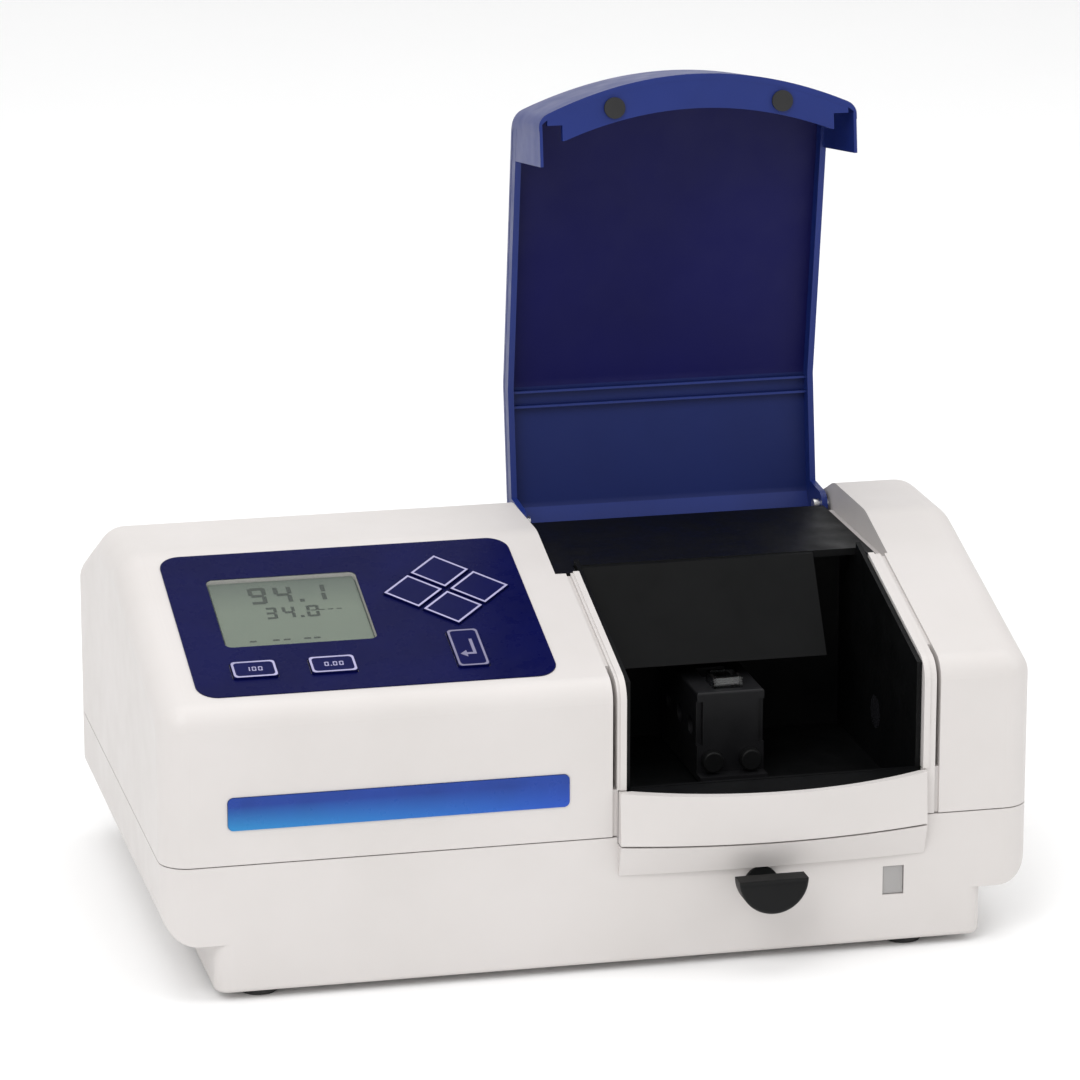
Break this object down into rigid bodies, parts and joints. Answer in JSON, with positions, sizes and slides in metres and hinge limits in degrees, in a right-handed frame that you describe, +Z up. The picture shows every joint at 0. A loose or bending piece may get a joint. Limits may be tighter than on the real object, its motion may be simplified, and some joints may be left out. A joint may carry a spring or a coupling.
{
  "type": "bench spectrophotometer",
  "caption": "Bench spectrophotometer with sloped display and key panel, sample chamber with a lift-up lid, cell changer with pull knob, and rear connectors.",
  "frame": {"origin": "on the bench surface, centred on the case width and midway between the pull knob and the rear lamp cover", "axes": "+X to the right seen from the front, +Y to the rear, +Z up"},
  "size_m": [0.365, 0.272, 0.3464],
  "materials": {
    "casing": "fine textured",
    "navy_film": "satin film",
    "badge_blue": "satin film",
    "lid_blue": "satin",
    "chamber_black": "matt",
    "grip_black": "satin",
    "rubber_black": "matt",
    "clear_window": "clear",
    "lcd_grey": "satin",
    "board_green": "lacquered",
    "steel": "brushed",
    "grey_paint": "satin",
    "black_anodised": "anodised black",
    "cast_alloy": "as cast",
    "mirror_silver": "polished",
    "grating_gold": "ruled",
    "gear_white": "satin",
    "ceramic_white": "unglazed",
    "port_grey": "satin",
    "motor_steel": "satin",
    "connector_black": "satin",
    "connector_metal": "plated"
  },
  "bodies": {
    "housing": {"upper_case": "casing", "lower_case": "casing", "chamber_front": "casing", "chamber_tub": "chamber_black", "rear_deck": "chamber_black", "beam_windows": "clear_window", "rod_bush": "grip_black", "hinge_pins": "steel", "keypad_label": "navy_film", "display_window": "clear_window", "lcd_panel": "lcd_grey", "keyboard_board": "board_green", "badge_plate": "badge_blue", "port_plug": "port_grey", "rubber_feet": "rubber_black", "case_screws": "steel", "rear_panel": "grey_paint", "mains_inlet": "connector_black", "switch_body": "connector_black", "fuse_holder": "connector_black", "serial_port": "connector_metal", "analog_sockets": "connector_black", "fan_frame": "connector_black", "fan_guard": "steel", "lamp_cover": "casing", "cover_screws": "steel", "lamp_holder": "ceramic_white", "halogen_lamp": "clear_window", "condenser_lens": "clear_window", "optics_base": "cast_alloy", "slit_plates": "black_anodised", "mirrors": "mirror_silver", "grating_motor": "motor_steel", "filter_motor": "motor_steel", "detector_board": "board_green", "photodiode": "connector_metal", "main_board": "board_green", "power_supply": "steel"},
    "lid": {"lid": "lid_blue", "lid_bumpers": "rubber_black"},
    "changer": {"cell_carriage": "black_anodised", "cell_block": "black_anodised", "holder_screws": "grip_black", "changer_rod": "steel", "pull_knob": "grip_black"},
    "cuvette": {"cuvette": "clear_window"},
    "fan_rotor": {"fan_rotor": "connector_black"},
    "switch_rocker": {"switch_rocker": "connector_black"},
    "fuse_drawer": {"fuse_drawer": "connector_black"},
    "grating_turret": {"grating_turret": "gear_white", "grating": "grating_gold"},
    "motor_pinion": {"motor_pinion": "gear_white"},
    "filter_wheel": {"filter_wheel": "black_anodised"},
    "key_up": {"key_up": "navy_film"},
    "key_down": {"key_down": "navy_film"},
    "key_left": {"key_left": "navy_film"},
    "key_right": {"key_right": "navy_film"},
    "key_enter": {"key_enter": "navy_film"},
    "key_mode": {"key_mode": "navy_film"},
    "key_zero": {"key_zero": "navy_film"}
  },
  "joints": [
    {"name": "lid_hinge", "type": "hinge", "parent": "housing", "child": "lid", "pos_m": [0.0724, 0.06, 0.1448], "axis": [-1, 0, 0], "range_deg": [-98, 0]},
    {"name": "cell_changer_slide", "type": "slide", "parent": "housing", "child": "changer", "axis": [0, -1, 0], "range_m": [0, 0.036]},
    {"name": "cuvette_lift_off", "type": "slide", "parent": "changer", "child": "cuvette", "axis": [0, 0, 1], "range_m": [0, 0.036]},
    {"name": "fan_spin", "type": "hinge", "parent": "housing", "child": "fan_rotor", "pos_m": [0.118, 0.105, 0.066], "axis": [0, 1, 0], "continuous": true},
    {"name": "mains_switch_rock", "type": "hinge", "parent": "housing", "child": "switch_rocker", "pos_m": [0.022, 0.1122, 0.078], "axis": [0, 0, 1], "range_deg": [-14, 0]},
    {"name": "fuse_drawer_slide", "type": "slide", "parent": "housing", "child": "fuse_drawer", "axis": [0, 1, 0], "range_m": [0, 0.02]},
    {"name": "grating_turn", "type": "hinge", "parent": "housing", "child": "grating_turret", "pos_m": [-0.06, 0.008, 0.07], "axis": [0, 0, 1], "range_deg": [-25, 25]},
    {"name": "pinion_turn", "type": "hinge", "parent": "housing", "child": "motor_pinion", "pos_m": [-0.0355, 0.008, 0.07], "axis": [0, 0, 1], "range_deg": [-80, 80]},
    {"name": "filter_wheel_turn", "type": "hinge", "parent": "housing", "child": "filter_wheel", "pos_m": [-0.092, 0.0585, 0.082], "axis": [0, 1, 0], "continuous": true},
    {"name": "key_up_press", "type": "slide", "parent": "housing", "child": "key_up", "axis": [0, 0.2807, -0.9598], "range_m": [0, 0.0005], "stiffness_N_per_m": 1500, "springref_m": -0.0005},
    {"name": "key_down_press", "type": "slide", "parent": "housing", "child": "key_down", "axis": [0, 0.2807, -0.9598], "range_m": [0, 0.0005], "stiffness_N_per_m": 1500, "springref_m": -0.0005},
    {"name": "key_left_press", "type": "slide", "parent": "housing", "child": "key_left", "axis": [0, 0.2807, -0.9598], "range_m": [0, 0.0005], "stiffness_N_per_m": 1500, "springref_m": -0.0005},
    {"name": "key_right_press", "type": "slide", "parent": "housing", "child": "key_right", "axis": [0, 0.2807, -0.9598], "range_m": [0, 0.0005], "stiffness_N_per_m": 1500, "springref_m": -0.0005},
    {"name": "key_enter_press", "type": "slide", "parent": "housing", "child": "key_enter", "axis": [0, 0.2807, -0.9598], "range_m": [0, 0.0005], "stiffness_N_per_m": 1500, "springref_m": -0.0005},
    {"name": "key_mode_press", "type": "slide", "parent": "housing", "child": "key_mode", "axis": [0, 0.2807, -0.9598], "range_m": [0, 0.0005], "stiffness_N_per_m": 1500, "springref_m": -0.0005},
    {"name": "key_zero_press", "type": "slide", "parent": "housing", "child": "key_zero", "axis": [0, 0.2807, -0.9598], "range_m": [0, 0.0005], "stiffness_N_per_m": 1500, "springref_m": -0.0005}
  ],
  "couplings": [
    {"joint": "pinion_turn", "follows": "grating_turn", "ratio": -3}
  ]
}
